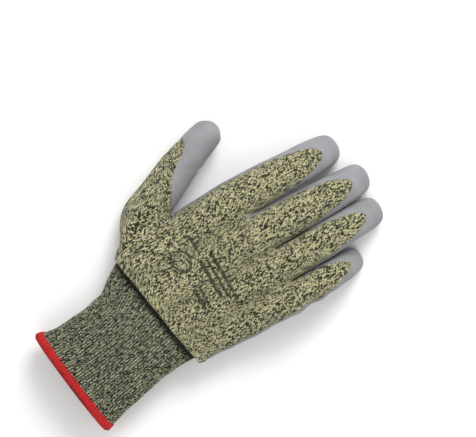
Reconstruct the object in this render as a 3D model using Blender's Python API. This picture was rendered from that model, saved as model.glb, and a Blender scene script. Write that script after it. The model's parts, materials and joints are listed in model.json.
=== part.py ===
"""A knitted, palm-coated work glove for the right hand, lying palm down.

The frame: +Y runs from the wrist to the fingertips, +X to the little finger, +Z up out of the back of the hand.
The origin is on the table, under the middle of the flat heel of the palm. All sizes are in metres.

The knitted liner and the film that coats its palm side are shells. They are cut where the hand bends, and at each
bend a short ring of soft fabric, called a fold, fills the wedge that the bending needs. A ring of fabric is a list
of points: from the little finger's side over the back of the hand, and home under the palm.
"""

import math

import bmesh
import bpy
from mathutils import Matrix, Vector

# Fabric
LINER_WALL = 0.0014  # one layer of knit
FILM = 0.0005  # the coating above the knit
GAP = 0.0003  # between pieces that lie on each other or butt
COAT_OUT = GAP + FILM  # how far the coating stands out from the liner
SOCKET_GAP = 0.0008  # between the hand and a fold at a digit's root, which leans a little

# Fingers, from the thumb's side: width at the root, width at the tip, lengths of the three phalanges from the
# root's axis, and how far the tip leans towards the little finger
FINGERS = {
    "index": (0.0275, 0.0220, (0.025, 0.026, 0.024), 0.0020),
    "middle": (0.0262, 0.0210, (0.028, 0.029, 0.026), 0.0015),
    "ring": (0.0232, 0.0200, (0.026, 0.028, 0.026), -0.0005),
    "little": (0.0202, 0.0172, (0.018, 0.017, 0.018), -0.0010),
}
FINGER_PARTS = ("base", "middle", "tip")
FINGER_GAP = 0.0008  # between neighbouring fingers
FINGER_COAT_SPREAD = 105  # degrees to either side of straight down that are coated
FLATNESS = 0.82  # a finger's thickness over its width
BEND_SHARES = (0.24, 1.0, 1.75)  # how far each phalanx slopes down, in shares of the middle one's slope
MOST_DROOP = math.radians(40)  # the steepest that a middle phalanx can slope at rest

# Hand
ROOT_Y = 0.066  # the fingers' root axes, just behind the line where they part
KNUCKLE_Y = 0.047  # the axis that the hand folds about
WRIST_Y = -0.028  # the axis that the cuff bends about
HALF_PALM = (sum(size[0] for size in FINGERS.values()) + FINGER_GAP * (len(FINGERS) - 1)) / 2
ROOT_THICKNESS = 0.022
KNUCKLE_ARCH = 0.005  # how much higher the middle of the hand is than its edges
CUFF_THICKNESS = 0.029
CUFF_WAIST_Y = -0.046  # where the cuff is done narrowing
CUFF_END_Y = -0.098
CUFF_SKEW = 0.004  # how far the hem slants forward at its little finger's side

# Thumb
THUMB_PARTS = ("middle", "tip")
THUMB_OFFSET = 0.0077  # from the edge of the palm out to the thumb's root axis, for a thumb of no width
THUMB_OFFSET_SHARE = 0.3  # and how much farther out, over the thumb's width there
THUMB_ROOT_Y = 0.0180
THUMB_HEADING = math.radians(25.5)  # outwards from +Y
THUMB_ROLL = math.radians(55)  # how far its back is turned outwards from straight up
THUMB_LENGTHS = (0.028, 0.031)
THUMB_BENDS = (math.radians(3), math.radians(8))
THUMB_WIDTHS = (0.0285, 0.0225)
THUMB_THICKNESS = 0.0245
THUMB_COAT_SPREAD = 110
THUMB_HOLE_Y = (-0.014, 0.000, 0.014)  # where the ball of the thumb leaves the palm
THUMB_HOLE_SPAN = 3  # columns to either side of the palm's edge
HOLE_CLEARANCE = 0.0024  # of the ball's fabric from the edge of that hole
BALL_FULLNESS = 7.0  # how much the ball of the thumb bulges, per metre of its length squared
BALL_SHARES = (0, 0.33, 0.67, 1)  # where its rings are along its length

# Hem and elastic
HEM_HEIGHT = 0.0045
HEM_WALL = 0.0009
ELASTIC_TURNS = 5
ELASTIC_RADIUS = 0.0004
ELASTIC_Y = (CUFF_WAIST_Y + 0.002, CUFF_END_Y + 0.010)

# How far each joint turns backwards and into the palm, in degrees
KNUCKLE_TURN = (15, 40)
ROOT_TURN = (12, 35)
MIDDLE_TURN = (12, 72)
TIP_TURN = (8, 40)
THUMB_ROOT_TURN = (12, 45)
THUMB_TIP_TURN = (10, 70)
WRIST_TURN = (40, 40)

# Facets
FINGER_SIDES = 12
THUMB_SIDES = 4 * THUMB_HOLE_SPAN + 4
FINGER_ANGLES = (40, 90, 140)  # where the hand's ring passes over each finger's root
HAND_SIDES = 2 * len(FINGER_ANGLES) * len(FINGERS) + 2
RADIAL_COLUMN = HAND_SIDES // 2
DOME_ANGLES = (0, 32, 58, 78)  # degrees up a fingertip

KNIT_COLOUR = (0.30, 0.29, 0.16, 1)
COAT_COLOUR = (0.33, 0.33, 0.35, 1)
RED_COLOUR = (0.60, 0.01, 0.01, 1)
ELASTIC_COLOUR = (0.75, 0.75, 0.72, 1)

X_AXIS, Y_AXIS, Z_AXIS = Vector((1, 0, 0)), Vector((0, 1, 0)), Vector((0, 0, 1))


# Helpers


def material(name, colour, roughness):
    made = bpy.data.materials.new(name)
    made.use_nodes = True
    shader = made.node_tree.nodes["Principled BSDF"]
    shader.inputs["Base Color"].default_value = colour
    shader.inputs["Roughness"].default_value = roughness
    shader.inputs["Metallic"].default_value = 0.0
    return made


def pivot(name, place, parent=None):
    """An empty on the axis that its pieces turn about."""
    made = bpy.data.objects.new("turns_" + name, None)
    made.location = place
    bpy.context.collection.objects.link(made)
    if parent:
        made.parent = parent
        made.matrix_parent_inverse = Matrix.Translation(-parent.location)
    return made


def finish(name, turner, mesh, paint):
    """Turns a bmesh into a named object whose origin is its pivot's, shaded smooth except at its rims."""
    bmesh.ops.recalc_face_normals(mesh, faces=mesh.faces)
    mesh.transform(Matrix.Translation(-turner.location))
    data = bpy.data.meshes.new(name)
    mesh.to_mesh(data)
    mesh.free()
    made = bpy.data.objects.new(name, data)
    bpy.context.collection.objects.link(made)
    made.parent = turner
    data.materials.append(paint)
    data.shade_smooth()
    data.set_sharp_from_angle(angle=math.radians(40))
    return made


def shell(name, turner, outer, inner, paint, keep=None, tips=None):
    """One closed solid between two grids of rings. keep(row, column) says which cells of the grid it has, and tips
    are the points that close its far end outside and inside. Every cell, and every cell of a rim, is cut along
    the same diagonal, so that shells that lie on each other or butt stay parallel."""
    rows, count = len(outer), len(outer[0])
    mesh = bmesh.new()
    corners = {}

    def corner(layer, place):
        if (layer, place) not in corners:
            row, column = place
            at = tips[layer] if row == rows else (outer, inner)[layer][row][column]
            corners[layer, place] = mesh.verts.new(at)
        return corners[layer, place]

    faces = []
    for row in range(rows - 1):
        for column in range(count):
            if keep is None or keep(row, column):
                after = (column + 1) % count
                near, far = (row, column), (row + 1, after)
                faces += [[near, (row, after), far], [near, far, (row + 1, column)]]
    if tips:
        faces += [[(rows - 1, j), (rows - 1, (j + 1) % count), (rows, 0)] for j in range(count)]
    edges = set()
    for face in faces:
        edges |= set(zip(face, face[1:] + face[:1]))
        mesh.faces.new([corner(0, place) for place in face])
        mesh.faces.new([corner(1, place) for place in reversed(face)])
    for a, b in sorted(edges):
        if (b, a) not in edges:
            low, high = (a, b) if (b[1] - a[1]) % count == 1 else (b, a)
            mesh.faces.new([corner(0, low), corner(0, high), corner(1, high)])
            mesh.faces.new([corner(0, low), corner(1, high), corner(1, low)])
    return finish(name, turner, mesh, paint)


def fold(name, turner, before, after, paint):
    """The ring of soft fabric at a joint. before(out) and after(out) are the rings at its ends, out from the liner."""
    grids = []
    for out in (FILM, -LINER_WALL):
        first, last = before(out), after(out)
        grids.append([first, [(a + b) / 2 for a, b in zip(first, last)], last])
    shell(name, turner, *grids, paint)


def rounded(angle, power):
    """How far across and how far up a point of a rounded section is, as shares of its half sizes."""
    c, s = math.cos(angle), math.sin(angle)
    return math.copysign(abs(c) ** (2 / power), c), math.copysign(abs(s) ** (2 / power), s)


def ring(centre, side, up, half_width, half_height, count, tilt, power=2.3):
    """A closed section. tilt is the vector added at its very top and taken away at its very bottom."""
    points = []
    for i in range(count):
        across, rise = rounded(2 * math.pi * i / count, power)
        points.append(centre + side * (half_width * across) + up * (half_height * rise) + tilt * rise)
    return points


def wedge(half_height, turn):
    """(setback, tilt) of the walls on each side of an axis, so that they clear each other when it turns (back, in)."""
    back, into = (half_height * math.tan(math.radians(angle) / 2) + GAP for angle in turn)
    return (back + into) / 2, (into - back) / 2


def mixed(values, at):
    """The value at a place along a list of (place, value) pairs, with straight lines between them."""
    for (low, a), (high, b) in zip(values, values[1:]):
        if at <= high:
            return a + (b - a) * max(0.0, (at - low) / (high - low))
    return values[-1][1]


def eased(share):
    share = min(1.0, max(0.0, share))
    return share * share * (3 - 2 * share)


def coated(count, spread):
    """keep() for the cells of a digit that are within spread degrees of straight down."""

    def keep(_, column):
        return abs((360 * (column + 0.5) / count - 90) % 360 - 180) < spread

    return keep


# The hand: its outline at stations along Y. Widths are shares of the palm's half width.

LEDGE_Y = WRIST_Y + wedge(CUFF_THICKNESS / 2, WRIST_TURN)[0]
CUFF_Y = WRIST_Y - wedge(CUFF_THICKNESS / 2, WRIST_TURN)[0]
RADIAL_EDGE = (
    (LEDGE_Y, -0.84),
    (THUMB_HOLE_Y[0], -0.88),
    (THUMB_HOLE_Y[1], -0.92),
    (THUMB_HOLE_Y[2], -0.945),
    (0.034, -0.985),
    (KNUCKLE_Y, -1.0),
)
ULNAR_EDGE = ((LEDGE_Y, 0.935), (0.004, 0.965), (KNUCKLE_Y, 1.0))
THICKNESS = ((LEDGE_Y, 0.031), (0.004, 0.032), (KNUCKLE_Y, 0.0265), (ROOT_Y, ROOT_THICKNESS))
UNDERSIDE = ((LEDGE_Y, -0.0005), (-0.016, -0.0015), (0.014, -0.0015), (KNUCKLE_Y, 0.0095), (ROOT_Y, 0.0135))
ARCH = ((LEDGE_Y, 0.0), (0.014, 0.0015), (KNUCKLE_Y, KNUCKLE_ARCH))
CUFF_RADIAL_EDGE = ((CUFF_END_Y, -0.0230), (CUFF_WAIST_Y, -0.0285), (CUFF_Y, -0.0370))
CUFF_ULNAR_EDGE = ((CUFF_END_Y, 0.0520), (CUFF_Y, 0.0438))
CUFF_HEIGHT = ((CUFF_END_Y, 0.0170), (CUFF_Y, 0.0160))


def axis_height(y):
    return mixed(UNDERSIDE, y) + mixed(THICKNESS, y) / 2


def arch(x, y):
    """How much the hand's section is raised at a place across it."""
    return mixed(ARCH, y) * (1 - (x / HALF_PALM) ** 2)


def lanes():
    """Each finger's name and the middle of its lane across the hand."""
    left = -HALF_PALM
    found = {}
    for name, size in FINGERS.items():
        found[name] = left + size[0] / 2
        left += size[0] + FINGER_GAP
    return found


def scalloped_ring(y, out, tilt):
    """A section that follows the fingers' roots."""
    places = [("little", 0)]
    places += [(name, angle) for name in reversed(FINGERS) for angle in FINGER_ANGLES]
    places += [("index", 180)]
    places += [(name, 180 + angle) for name in FINGERS for angle in FINGER_ANGLES]
    centres = lanes()
    points = []
    for name, angle in places:
        across, rise = rounded(math.radians(angle), 2.3)
        x = centres[name] + across * (FINGERS[name][0] / 2 - COAT_OUT + out)
        z = axis_height(y) + arch(centres[name], y) + rise * (mixed(THICKNESS, y) / 2 - COAT_OUT + out)
        points.append(Vector((x, y + tilt * rise, z)))
    return points


def oval_ring(y, out, tilt):
    radial, ulnar = (mixed(edge, y) * HALF_PALM for edge in (RADIAL_EDGE, ULNAR_EDGE))
    centre = Vector(((radial + ulnar) / 2, y, axis_height(y)))
    half_width = (ulnar - radial) / 2 - COAT_OUT + out
    half_height = mixed(THICKNESS, y) / 2 - COAT_OUT + out
    points = ring(centre, X_AXIS, Z_AXIS, half_width, half_height, HAND_SIDES, Y_AXIS * tilt, 2.7)
    for point in points:
        point.z += arch(point.x, y)
    return points


def hand_ring(y, out, tilt=0.0):
    """The hand's section at y, out from the liner's outside. It is pressed flat where it would pass the table."""
    share = eased((y - THUMB_HOLE_Y[2]) / (ROOT_Y - THUMB_HOLE_Y[2]))
    pairs = zip(oval_ring(y, out, tilt), scalloped_ring(y, out, tilt))
    points = [a.lerp(b, share) for a, b in pairs]
    for point in points:
        point.z = max(point.z, COAT_OUT - out)
    return points


def cuff_ring(y, out):
    radial, ulnar = mixed(CUFF_RADIAL_EDGE, y), mixed(CUFF_ULNAR_EDGE, y)
    centre = Vector(((radial + ulnar) / 2, y, mixed(CUFF_HEIGHT, y)))
    half_width = (ulnar - radial) / 2 + out
    points = ring(centre, X_AXIS, Z_AXIS, half_width, CUFF_THICKNESS / 2 + out, HAND_SIDES, Vector(), 2.4)
    skew = CUFF_SKEW * (CUFF_Y - y) / (CUFF_Y - CUFF_END_Y)
    for point in points:
        point.y += skew * (point.x - centre.x) / half_width
    return points


def in_thumb_hole(row, column):
    return 1 <= row < len(THUMB_HOLE_Y) and abs(column + 0.5 - RADIAL_COLUMN) < THUMB_HOLE_SPAN


def no_hole(_row, _column):
    return False


def palm_side(column):
    """Whether a column of the hand's rings is coated: all below the edges, and the first cell above each."""
    return column >= RADIAL_COLUMN - 1 or column == 0


def make_hand_part(name, turner, stations, paints, hole):
    """A liner and its coating, through the (y, tilt) stations."""
    knit, coat = paints
    grids = [[hand_ring(y, out, tilt) for y, tilt in stations] for out in (0, -LINER_WALL, COAT_OUT, GAP)]
    shell(name + "_liner", turner, *grids[:2], knit, lambda i, j: not hole(i, j))
    shell(name + "_coating", turner, *grids[2:], coat, lambda i, j: palm_side(j) and not hole(i, j))


def make_hand(palm, knuckles, paints):
    setback, tilt = wedge(mixed(THICKNESS, KNUCKLE_Y) / 2, KNUCKLE_TURN)
    root_setback, root_tilt = wedge(ROOT_THICKNESS / 2, ROOT_TURN)
    palm_end = KNUCKLE_Y - setback
    stations = [(LEDGE_Y, 0)] + [(y, 0) for y in THUMB_HOLE_Y] + [((THUMB_HOLE_Y[-1] + palm_end) / 2, tilt / 2)]
    make_hand_part("palm", palm, stations + [(palm_end, tilt)], paints, in_thumb_hole)
    band = (KNUCKLE_Y + setback, ROOT_Y - root_setback)
    stations = [(band[0], -tilt), (sum(band) / 2, (root_tilt - tilt) / 2), (band[1], root_tilt)]
    make_hand_part("knuckle_band", knuckles, stations, paints, no_hole)
    fold(
        "knuckle_fold",
        palm,
        lambda out: hand_ring(palm_end + GAP, out, tilt),
        lambda out: hand_ring(band[0] - GAP, out, -tilt),
        paints[0],
    )


def make_elastic(cuff, paint):
    """The elastic yarn that lies in a spiral against the inside of the ribbing."""
    steps = ELASTIC_TURNS * HAND_SIDES // 2
    mesh = bmesh.new()
    sections = []
    for i in range(steps + 1):
        y = ELASTIC_Y[0] + (ELASTIC_Y[1] - ELASTIC_Y[0]) * i / steps
        column = 2 * i % HAND_SIDES
        outside = cuff_ring(y, -LINER_WALL - GAP)[column]
        inside = cuff_ring(y, -LINER_WALL - GAP - 2 * ELASTIC_RADIUS)[column]
        middle, along = (outside + inside) / 2, Y_AXIS * ELASTIC_RADIUS
        sections.append([mesh.verts.new(p) for p in (outside, middle + along, inside, middle - along)])
    for before, after in zip(sections, sections[1:]):
        for j in range(4):
            mesh.faces.new([before[j], before[(j + 1) % 4], after[(j + 1) % 4], after[j]])
    mesh.faces.new(sections[0])
    mesh.faces.new(sections[-1])
    finish("cuff_elastic", cuff, mesh, paint)


def make_cuff(palm, cuff, knit, red):
    ys = (CUFF_Y, CUFF_WAIST_Y, (CUFF_WAIST_Y + CUFF_END_Y) / 2, CUFF_END_Y)
    shell("cuff_rib", cuff, [cuff_ring(y, 0) for y in ys], [cuff_ring(y, -LINER_WALL) for y in ys], knit)
    fold(
        "wrist_fold",
        palm,
        lambda out: hand_ring(LEDGE_Y - GAP, out - COAT_OUT),
        lambda out: cuff_ring(CUFF_Y + GAP, out - COAT_OUT),
        knit,
    )
    top, end = CUFF_END_Y + HEM_HEIGHT, CUFF_END_Y - GAP
    inside = -LINER_WALL - GAP
    outer = [(top, GAP + HEM_WALL), (end - HEM_WALL, GAP + HEM_WALL)]
    outer += [(end - HEM_WALL, inside - HEM_WALL), (top, inside - HEM_WALL)]
    inner = [(top, GAP), (end, GAP), (end, inside), (top, inside)]
    shell("hem_overlock", cuff, [cuff_ring(*p) for p in outer], [cuff_ring(*p) for p in inner], red)


# Fingers and thumb


class Digit:
    """A chain of phalanges that all bend in one plane. s is the distance from a phalanx's own axis."""

    def __init__(self, name, parts, root, forward, up, bends, lengths, widths, thickness, turns, count):
        self.name, self.parts, self.turns, self.count = name, parts, turns, count
        self.lengths, self.widths, self.thickness, self.bends = lengths, widths, thickness, bends
        self.forward, self.rest_up, self.side = forward, up, forward.cross(up)
        self.alongs = [forward * math.cos(bend) - up * math.sin(bend) for bend in bends]
        self.places = [root]
        for along, length in zip(self.alongs, lengths):
            self.places.append(self.places[-1] + along * length)
        self.dome = widths[1] * 0.52

    def up(self, part):
        return self.side.cross(self.alongs[part])

    def half_width(self, s):
        share = min(1.0, max(0.0, s / (sum(self.lengths) - self.dome)))
        return (self.widths[0] + (self.widths[1] - self.widths[0]) * share**1.3) / 2

    def half_height(self, s):
        share = min(1.0, max(0.0, s / self.lengths[0]))
        return self.thickness / 2 + (self.half_width(s) * FLATNESS - self.thickness / 2) * share

    def wedge(self, joint):
        """A joint that is already bent at rest needs that much more room underneath, and less on top. At the root
        the digit gives all of it, because its socket is cut for every digit alike."""
        rested = math.degrees(self.bends[joint] - self.bends[joint - 1] if joint else 2 * self.bends[0])
        back, into = self.turns[joint]
        thickest = self.half_height(sum(self.lengths[:joint]) - self.dome / 2)
        return wedge(thickest, (max(0, back - rested), into + rested))

    def ring(self, part, s, out, tilt=0.0):
        along = self.alongs[part]
        total = s + sum(self.lengths[:part])
        sizes = (half - COAT_OUT + out for half in (self.half_width(total), self.half_height(total)))
        return ring(self.places[part] + along * s, self.side, self.up(part), *sizes, self.count, along * tilt)

    def dome_rings(self, out):
        """The rounded end's rings, and its very tip."""
        along = self.alongs[-1]
        base = self.places[-1] - along * self.dome
        sizes = [half - COAT_OUT + out for half in (self.widths[1] / 2, self.widths[1] / 2 * FLATNESS, self.dome)]
        rings = []
        for degrees in DOME_ANGLES:
            angle = math.radians(degrees)
            centre = base + along * (sizes[2] * math.sin(angle))
            half_width, half_height = (size * math.cos(angle) for size in sizes[:2])
            rings.append(ring(centre, self.side, self.up(-1), half_width, half_height, self.count, Vector()))
        return rings, base + along * sizes[2]

    def lowest(self):
        """How high the underside of the rounded end is above the table."""
        half = self.widths[1] / 2
        reaches = (self.side.z * half, self.up(-1).z * half * FLATNESS, self.alongs[-1].z * self.dome)
        return (self.places[-1] - self.alongs[-1] * self.dome).z - math.hypot(*reaches)

    def socket(self, out, clearance):
        """The ring behind the root's axis, square to what carries the digit."""
        setback, tilt = wedge(self.half_height(0), self.turns[0])
        centre = self.places[0] - self.forward * (setback - clearance)
        sizes = (half - COAT_OUT + out for half in (self.half_width(0), self.half_height(0)))
        return ring(centre, self.side, self.rest_up, *sizes, self.count, self.forward * tilt)

    def root_fold_end(self, out):
        setback, tilt = self.wedge(0)
        return self.ring(0, setback - GAP, out, -tilt)


def make_phalanx(digit, part, turner, paints, spread):
    """The liner and the coating of a phalanx that has a joint at each end."""
    start, start_tilt = digit.wedge(part)
    setback, end_tilt = digit.wedge(part + 1)
    end = digit.lengths[part] - setback
    stations = [(start, -start_tilt), ((start + end) / 2, (end_tilt - start_tilt) / 2), (end, end_tilt)]
    grids = [[digit.ring(part, s, out, tilt) for s, tilt in stations] for out in (0, -LINER_WALL, COAT_OUT, GAP)]
    label = f"{digit.name}_{digit.parts[part]}"
    shell(label + "_liner", turner, *grids[:2], paints[0])
    shell(label + "_coating", turner, *grids[2:], paints[1], coated(digit.count, spread))


def make_tip(digit, turner, paints, spread):
    """The liner's closed end, and a film that goes all the way round it beyond the knit back."""
    part = len(digit.parts) - 1
    setback, tilt = digit.wedge(part)
    wrapped_from = (digit.lengths[part] - digit.dome + setback) / 2
    grids, ends = [], []
    for out in (0, -LINER_WALL, COAT_OUT, GAP):
        domed, end = digit.dome_rings(out)
        grids.append([digit.ring(part, setback, out, -tilt), digit.ring(part, wrapped_from, out)] + domed)
        ends.append(end)
    below = coated(digit.count, spread)
    label = digit.name + "_tip"
    shell(label + "_liner", turner, *grids[:2], paints[0], tips=ends[:2])
    shell(label + "_coating", turner, *grids[2:], paints[1], lambda i, j: i > 0 or below(i, j), ends[2:])


def joint_fold(digit, joint, turner, paint):
    """The fold between two phalanges, carried by the nearer one."""
    setback, tilt = digit.wedge(joint)
    setback -= GAP
    fold(
        f"{digit.name}_{digit.parts[joint]}_fold",
        turner,
        lambda out: digit.ring(joint - 1, digit.lengths[joint - 1] - setback, out, tilt),
        lambda out: digit.ring(joint, setback, out, -tilt),
        paint,
    )


def make_digit(digit, base, paints, spread):
    """All of a digit beyond the part that carries its root."""
    turner = base
    fold(digit.name + "_root_fold", base, lambda out: digit.socket(out, SOCKET_GAP), digit.root_fold_end, paints[0])
    for part, place in enumerate(digit.places[:-1]):
        if part:
            joint_fold(digit, part, turner, paints[0])
        turner = pivot(f"{digit.name}_{digit.parts[part]}", place, turner)
        if part < len(digit.parts) - 1:
            make_phalanx(digit, part, turner, paints, spread)
        else:
            make_tip(digit, turner, paints, spread)


def finger(name, x, droop):
    width, tip_width, lengths, lean = FINGERS[name]
    root = Vector((x, ROOT_Y, axis_height(ROOT_Y) + arch(x, ROOT_Y)))
    forward = Vector((lean, sum(lengths), 0)).normalized()
    bends = [share * droop for share in BEND_SHARES]
    turns = (ROOT_TURN, MIDDLE_TURN, TIP_TURN)
    sizes = (lengths, (width, tip_width), ROOT_THICKNESS)
    return Digit(name, FINGER_PARTS, root, forward, Z_AXIS, bends, *sizes, turns, FINGER_SIDES)


def resting_finger(name, x):
    """The finger with the droop at which its tip meets the table."""
    low, high = 0.0, MOST_DROOP
    for _ in range(40):
        droop = (low + high) / 2
        if finger(name, x, droop).lowest() > 0:
            low = droop
        else:
            high = droop
    return finger(name, x, low)


def thumb(height):
    forward = Vector((-math.sin(THUMB_HEADING), math.cos(THUMB_HEADING), 0))
    outward = Z_AXIS.cross(forward)
    up = outward * math.sin(THUMB_ROLL) + Z_AXIS * math.cos(THUMB_ROLL)
    sizes = (THUMB_LENGTHS, THUMB_WIDTHS, THUMB_THICKNESS)
    turns = (THUMB_ROOT_TURN, THUMB_TIP_TURN)
    offset = THUMB_OFFSET + THUMB_OFFSET_SHARE * THUMB_WIDTHS[0]
    root = Vector((-HALF_PALM - offset, THUMB_ROOT_Y, height))
    return Digit("thumb", THUMB_PARTS, root, forward, up, THUMB_BENDS, *sizes, turns, THUMB_SIDES)


def hole_ring(inset):
    """The edge of the palm's hole for the thumb, from the middle of its upper side, drawn in towards its middle."""
    first, last = RADIAL_COLUMN - THUMB_HOLE_SPAN, RADIAL_COLUMN + THUMB_HOLE_SPAN
    low, middle, high = (hand_ring(y, 0) for y in THUMB_HOLE_Y)
    points = [middle[first]] + low[first : last + 1] + [middle[last]] + high[first : last + 1][::-1]
    centre = sum(points, Vector()) / len(points)
    return [point + (centre - point).normalized() * inset for point in points]


def ball_ring(digit, share, out):
    """A ring of the ball of the thumb, from the palm's hole (share 0) to the thumb's root (share 1)."""
    turned = THUMB_SIDES // 8
    far = digit.socket(out, 0.0)
    far = far[turned:] + far[:turned]
    points = []
    for a, b in zip(hole_ring(HOLE_CLEARANCE - out), far):
        bulge = (a - b).length_squared * BALL_FULLNESS
        control = (a + b) / 2 + Vector((-1, -1, 0)).normalized() * bulge
        points.append(a.lerp(control, share).lerp(control.lerp(b, share), share))
    return points[-turned:] + points[:-turned]


def make_ball(digit, palm, paints, spread):
    """The ball of the thumb, from the hole in the palm to the thumb's root."""
    grids = [[ball_ring(digit, share, out) for share in BALL_SHARES] for out in (0, -LINER_WALL, COAT_OUT, GAP)]
    shell("thumb_base_liner", palm, *grids[:2], paints[0])
    shell("thumb_base_coating", palm, *grids[2:], paints[1], coated(THUMB_SIDES, spread))


def main():
    for old in list(bpy.data.objects):
        bpy.data.objects.remove(old)
    knit = material("knit", KNIT_COLOUR, 0.95)
    coat = material("coating", COAT_COLOUR, 0.7)
    red = material("red_thread", RED_COLOUR, 0.8)
    stretch = material("elastic", ELASTIC_COLOUR, 0.6)
    paints = (knit, coat)

    palm = pivot("palm", Vector())
    knuckles = pivot("knuckles", Vector((0, KNUCKLE_Y, axis_height(KNUCKLE_Y))), palm)
    cuff = pivot("cuff", Vector((0, WRIST_Y, mixed(CUFF_HEIGHT, CUFF_Y))), palm)
    make_hand(palm, knuckles, paints)
    make_cuff(palm, cuff, knit, red)
    make_elastic(cuff, stretch)
    for name, x in lanes().items():
        make_digit(resting_finger(name, x), knuckles, paints, FINGER_COAT_SPREAD)
    resting_thumb = thumb(-thumb(0.0).lowest())
    make_ball(resting_thumb, palm, paints, THUMB_COAT_SPREAD)
    make_digit(resting_thumb, palm, paints, THUMB_COAT_SPREAD)


main()
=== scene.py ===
"""The looks of a knitted work glove with a dipped palm: right hand, palm down, fingers along +Y. Metres.

The liner of the hand and of all five digits is one cage of quads. It is subdivided as a whole, so that its
pieces meet without a seam, and then split where the glove bends. The coating is a film laid over part of
every piece. A ring of points runs from the little finger's side over the back of the hand, and home under
the palm. A place on the knit is (across, along), in metres of fabric.
"""

import json
import math

import bpy
import numpy as np
from mathutils import Matrix, Vector, noise


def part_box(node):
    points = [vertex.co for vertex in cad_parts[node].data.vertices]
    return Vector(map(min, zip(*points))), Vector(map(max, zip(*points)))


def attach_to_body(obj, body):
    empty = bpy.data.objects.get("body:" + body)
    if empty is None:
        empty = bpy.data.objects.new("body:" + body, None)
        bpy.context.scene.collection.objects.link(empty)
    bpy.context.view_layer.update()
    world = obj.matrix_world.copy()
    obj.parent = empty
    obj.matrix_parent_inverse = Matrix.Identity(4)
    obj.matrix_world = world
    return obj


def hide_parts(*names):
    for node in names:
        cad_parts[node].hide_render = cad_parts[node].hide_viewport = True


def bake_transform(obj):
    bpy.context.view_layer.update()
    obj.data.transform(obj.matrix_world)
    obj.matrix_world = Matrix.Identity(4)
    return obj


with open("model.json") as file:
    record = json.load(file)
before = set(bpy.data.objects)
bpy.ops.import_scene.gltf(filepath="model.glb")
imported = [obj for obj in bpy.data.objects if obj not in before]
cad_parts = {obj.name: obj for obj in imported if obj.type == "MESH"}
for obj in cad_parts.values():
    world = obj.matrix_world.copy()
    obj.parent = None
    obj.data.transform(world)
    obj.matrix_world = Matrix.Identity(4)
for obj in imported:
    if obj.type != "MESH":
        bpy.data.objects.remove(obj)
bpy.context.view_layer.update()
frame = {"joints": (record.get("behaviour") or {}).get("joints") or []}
JOINTS = {joint["name"]: joint for joint in frame["joints"]}

FULL_TURN = 2 * math.pi

# Fabric
LINER_WALL = 0.0014
FILM_EDGE = 0.00012  # the coating's thickness at its edge
FILM = 0.00045  # and where it is full
FILM_FROM = 0.0020  # how far from its edge it is full
FILM_BED = 0.00004  # between the liner and the film
WALE = 0.0014  # the knit's pitch across the hand
COURSE = 0.00115  # and along it
LEVELS = 3  # of subdivision
FIT_STEPS = 5  # of fitting the smooth surface to the cage's points
CAGE_CLEAR = 0.0003  # least heights over the table
LINER_CLEAR = 0.0002
FILM_CLEAR = 0.0001

# Fingers, from the thumb's side: width at the root and at the tip
FINGERS = {
    "index": (0.0275, 0.0220),
    "middle": (0.0262, 0.0210),
    "ring": (0.0232, 0.0200),
    "little": (0.0202, 0.0172),
}
NAMES = list(FINGERS)
FINGER_ANGLES = (18, 54, 90, 126, 162, 198, 234, 270, 306, 342)
FINGER_SEAM = 7  # the angle at which the pattern's two sides meet, underneath
FLATNESS = 0.82  # a finger's height, as a share of its width
ROUNDNESS = 2.3  # 2 is an ellipse, and more is squarer
REACH = 0.0118 / 0.0275  # the knit's width per radian, as a share of a finger's width
TAPER = 1.3  # 1 is straight, and more keeps the width for longer
DOME_SHARE = 0.52  # the length of a rounded end, as a share of the width
DOME_TURNS = (38, 66)  # the angles of its rings
CROTCH_Y = {("index", "middle"): 0.0640, ("middle", "ring"): 0.0690, ("ring", "little"): 0.0635}
CROTCH_HALF = 0.0035  # half the height of the web between two fingers
FINGER_SPLITS = (0.58, 0.50)  # where pieces meet, as shares of the phalanges
FINGER_FIRST = 0.0060  # the first ring that is a finger's own, from its root

# Thumb
THUMB_WIDTHS = (0.0285, 0.0225)
THUMB_THICKNESS = 0.0245
THUMB_ANGLES = tuple(range(-45, 315, 30))
THUMB_SEAM = 10
THUMB_TIP_TURN = math.radians(5)
THUMB_START = -0.0045  # where the ball of the thumb ends, from the thumb's root
THUMB_SPLITS = (0.56,)
BALL_SHARES = (0.33, 0.67)
BALL_FULLNESS = 7.0
BALL_LENGTH = 0.030  # of its knit

# Hand
LEDGE_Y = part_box("palm_liner")[0].y
KNUCKLE_Y = JOINTS["knuckle_bend"]["pos_m"][1]
ROOT_Y = JOINTS["index_root_bend"]["pos_m"][1]
LEDGE_SKEW = 0.155  # how far the edge over the cuff runs forward, per metre to the little finger's side
HEM_SKEW = 0.12
SKEW_END = 0.008  # where the hand's rings are square again
RADIAL_EDGE = (
    (LEDGE_Y, -0.0430),
    (-0.015, -0.0504),
    (-0.004, -0.0515),
    (0.006, -0.0500),
    (0.017, -0.0486),
    (0.030, -0.0488),
    (KNUCKLE_Y, -0.0496),
)
ULNAR_EDGE = ((LEDGE_Y, 0.0468), (0.004, 0.0474), (0.030, 0.0482), (KNUCKLE_Y, 0.0494))
THICKNESS = ((LEDGE_Y, 0.031), (0.004, 0.032), (KNUCKLE_Y, 0.0265), (ROOT_Y, 0.022))
UNDERSIDE = ((LEDGE_Y, 0.0), (0.014, 0.0), (KNUCKLE_Y, 0.0095), (ROOT_Y, 0.0135))
ARCH = ((LEDGE_Y, 0.0), (0.014, 0.0015), (KNUCKLE_Y, 0.005))
FULLNESS = 2.7  # of the hand's oval, as ROUNDNESS
HALF_PALM = 0.04975
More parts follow.
